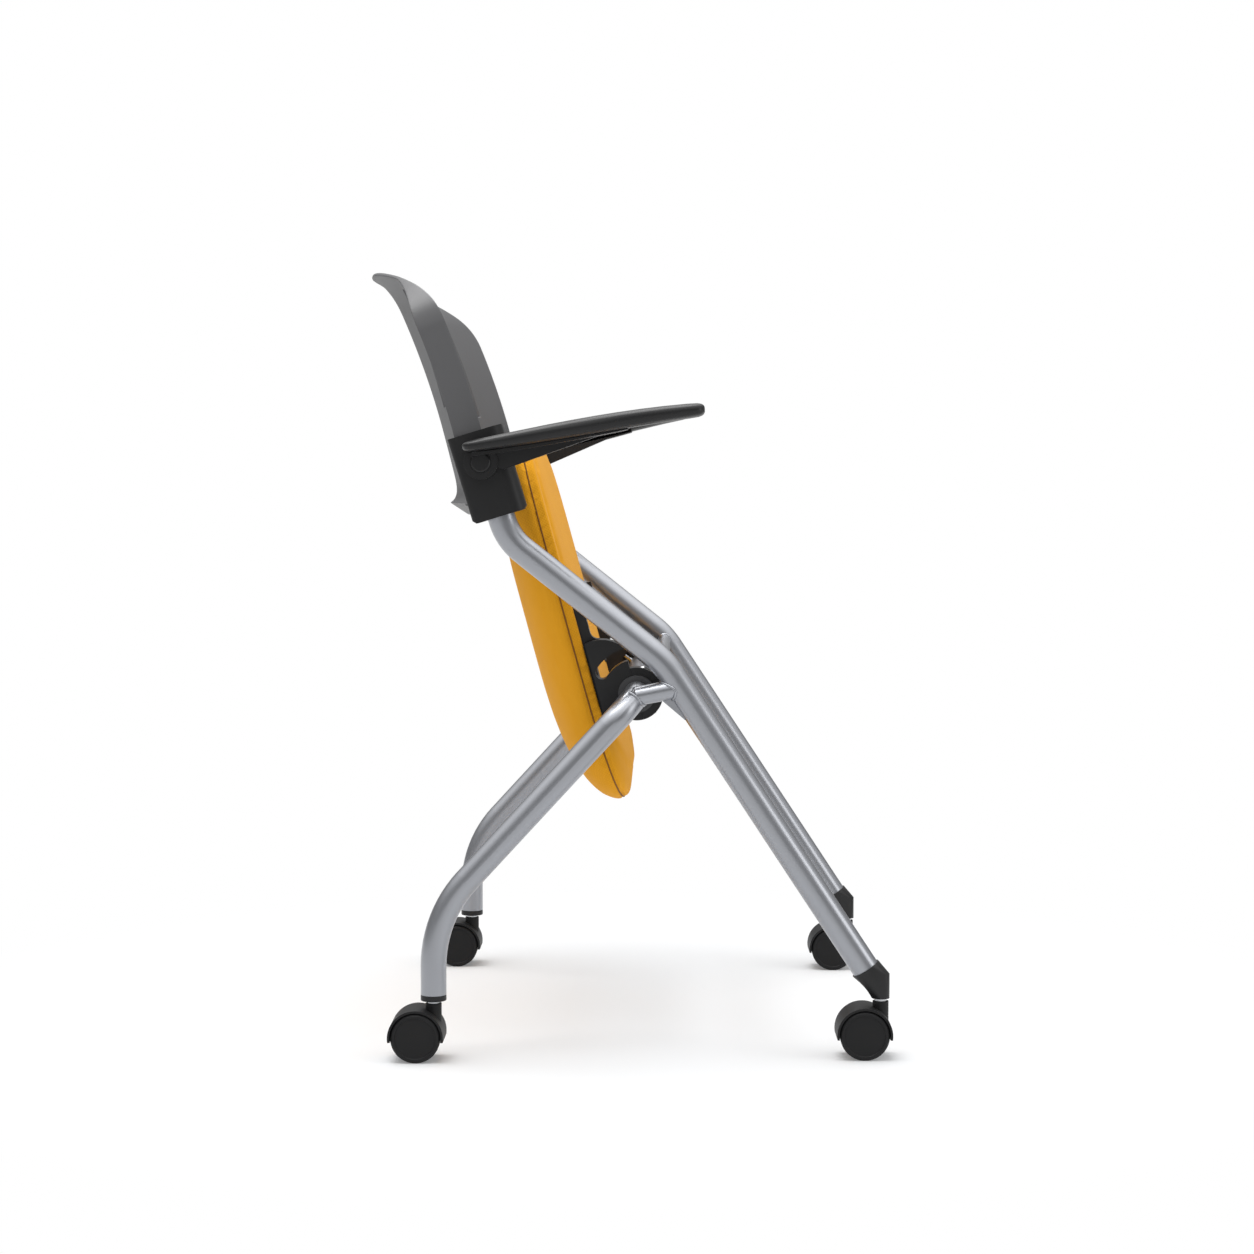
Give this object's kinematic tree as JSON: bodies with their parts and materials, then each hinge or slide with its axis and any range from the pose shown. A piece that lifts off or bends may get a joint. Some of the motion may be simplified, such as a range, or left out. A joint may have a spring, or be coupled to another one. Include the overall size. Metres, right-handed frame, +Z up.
{
  "type": "nesting chair",
  "caption": "Nesting office chair with a flip-up upholstered seat, a moulded back shell with side slots and fold-up arms, on a bent tube frame with twin-wheel casters.",
  "frame": {"origin": "on the floor under the middle of the bounding box", "axes": "+X to the chair's front, +Y to its left side, +Z up"},
  "size_m": [0.5493, 0.638, 0.8055],
  "materials": {
    "silver_steel": "satin silver powder coat on the tubes and braces",
    "black_plastic": "fine grained black nylon, slight sheen",
    "shell_plastic": "charcoal polypropylene, even satin",
    "seat_fabric": "amber woven upholstery, fine weave",
    "plywood": "plain beech plywood, hidden under the cover",
    "zinc_steel": "bright zinc plated hardware",
    "pad_rubber": "black rubber rest pads",
    "bush_plastic": "dark acetal bearing bushes",
    "wheel_nylon": "black nylon wheels and hoods"
  },
  "bodies": {
    "frame": {"left_main_tube": "silver_steel", "right_main_tube": "silver_steel", "rear_leg_frame": "silver_steel", "seat_rest_rod": "silver_steel", "left_link_bar": "silver_steel", "right_link_bar": "silver_steel", "left_gusset": "silver_steel", "right_gusset": "silver_steel", "back_shell": "shell_plastic", "left_arm_sleeve": "black_plastic", "right_arm_sleeve": "black_plastic", "sleeve_screws": "zinc_steel", "left_front_foot": "black_plastic", "right_front_foot": "black_plastic", "left_rear_ferrule": "black_plastic", "right_rear_ferrule": "black_plastic", "flip_stop_pins": "zinc_steel", "left_arm_bolt": "zinc_steel", "right_arm_bolt": "zinc_steel", "front_left_stem": "zinc_steel", "front_right_stem": "zinc_steel", "rear_left_stem": "zinc_steel", "rear_right_stem": "zinc_steel"},
    "seat": {"seat_cushion": "seat_fabric", "seat_board": "plywood", "left_seat_bracket": "black_plastic", "left_hub_cap": "black_plastic", "left_bearing_bush": "bush_plastic", "right_seat_bracket": "black_plastic", "right_hub_cap": "black_plastic", "right_bearing_bush": "bush_plastic", "bracket_screws": "zinc_steel", "hub_cap_screws": "zinc_steel", "seat_rest_pads": "pad_rubber"},
    "left_arm": {"left_arm_pad": "black_plastic", "left_arm_support": "black_plastic", "left_arm_cap": "black_plastic", "left_arm_washer": "zinc_steel"},
    "right_arm": {"right_arm_pad": "black_plastic", "right_arm_support": "black_plastic", "right_arm_cap": "black_plastic", "right_arm_washer": "zinc_steel"},
    "front_left_caster": {"front_left_caster_body": "wheel_nylon", "front_left_axle": "zinc_steel"},
    "front_left_outer_wheel_body": {"front_left_outer_wheel": "wheel_nylon"},
    "front_left_inner_wheel_body": {"front_left_inner_wheel": "wheel_nylon"},
    "front_right_caster": {"front_right_caster_body": "wheel_nylon", "front_right_axle": "zinc_steel"},
    "front_right_outer_wheel_body": {"front_right_outer_wheel": "wheel_nylon"},
    "front_right_inner_wheel_body": {"front_right_inner_wheel": "wheel_nylon"},
    "rear_left_caster": {"rear_left_caster_body": "wheel_nylon", "rear_left_axle": "zinc_steel"},
    "rear_left_outer_wheel_body": {"rear_left_outer_wheel": "wheel_nylon"},
    "rear_left_inner_wheel_body": {"rear_left_inner_wheel": "wheel_nylon"},
    "rear_right_caster": {"rear_right_caster_body": "wheel_nylon", "rear_right_axle": "zinc_steel"},
    "rear_right_outer_wheel_body": {"rear_right_outer_wheel": "wheel_nylon"},
    "rear_right_inner_wheel_body": {"rear_right_inner_wheel": "wheel_nylon"}
  },
  "joints": [
    {"name": "seat_flip", "type": "hinge", "parent": "frame", "child": "seat", "pos_m": [0.01735, 0, 0.366], "axis": [0, 1, 0], "range_deg": [0, 103]},
    {"name": "left_arm_fold", "type": "hinge", "parent": "frame", "child": "left_arm", "pos_m": [-0.13672, 0.2778, 0.60082], "axis": [0, -1, 0], "range_deg": [-4, 91]},
    {"name": "right_arm_fold", "type": "hinge", "parent": "frame", "child": "right_arm", "pos_m": [-0.13672, -0.2778, 0.60082], "axis": [0, -1, 0], "range_deg": [0, 95]},
    {"name": "front_left_swivel", "type": "hinge", "parent": "frame", "child": "front_left_caster", "pos_m": [0.26459, 0.25, 0.0465], "axis": [0, 0, 1], "continuous": true},
    {"name": "front_left_outer_wheel_roll", "type": "hinge", "parent": "front_left_caster", "child": "front_left_outer_wheel_body", "pos_m": [0.24759, 0.265, 0.025], "axis": [0, 1, 0], "continuous": true},
    {"name": "front_left_inner_wheel_roll", "type": "hinge", "parent": "front_left_caster", "child": "front_left_inner_wheel_body", "pos_m": [0.24759, 0.235, 0.025], "axis": [0, 1, 0], "continuous": true},
    {"name": "front_right_swivel", "type": "hinge", "parent": "frame", "child": "front_right_caster", "pos_m": [0.26459, -0.25, 0.0465], "axis": [0, 0, 1], "continuous": true},
    {"name": "front_right_outer_wheel_roll", "type": "hinge", "parent": "front_right_caster", "child": "front_right_outer_wheel_body", "pos_m": [0.24759, -0.265, 0.025], "axis": [0, 1, 0], "continuous": true},
    {"name": "front_right_inner_wheel_roll", "type": "hinge", "parent": "front_right_caster", "child": "front_right_inner_wheel_body", "pos_m": [0.24759, -0.235, 0.025], "axis": [0, 1, 0], "continuous": true},
    {"name": "rear_left_swivel", "type": "hinge", "parent": "frame", "child": "rear_left_caster", "pos_m": [-0.18681, 0.268, 0.0465], "axis": [0, 0, 1], "continuous": true},
    {"name": "rear_left_outer_wheel_roll", "type": "hinge", "parent": "rear_left_caster", "child": "rear_left_outer_wheel_body", "pos_m": [-0.20381, 0.283, 0.025], "axis": [0, 1, 0], "continuous": true},
    {"name": "rear_left_inner_wheel_roll", "type": "hinge", "parent": "rear_left_caster", "child": "rear_left_inner_wheel_body", "pos_m": [-0.20381, 0.253, 0.025], "axis": [0, 1, 0], "continuous": true},
    {"name": "rear_right_swivel", "type": "hinge", "parent": "frame", "child": "rear_right_caster", "pos_m": [-0.18681, -0.268, 0.0465], "axis": [0, 0, 1], "continuous": true},
    {"name": "rear_right_outer_wheel_roll", "type": "hinge", "parent": "rear_right_caster", "child": "rear_right_outer_wheel_body", "pos_m": [-0.20381, -0.283, 0.025], "axis": [0, 1, 0], "continuous": true},
    {"name": "rear_right_inner_wheel_roll", "type": "hinge", "parent": "rear_right_caster", "child": "rear_right_inner_wheel_body", "pos_m": [-0.20381, -0.253, 0.025], "axis": [0, 1, 0], "continuous": true}
  ]
}
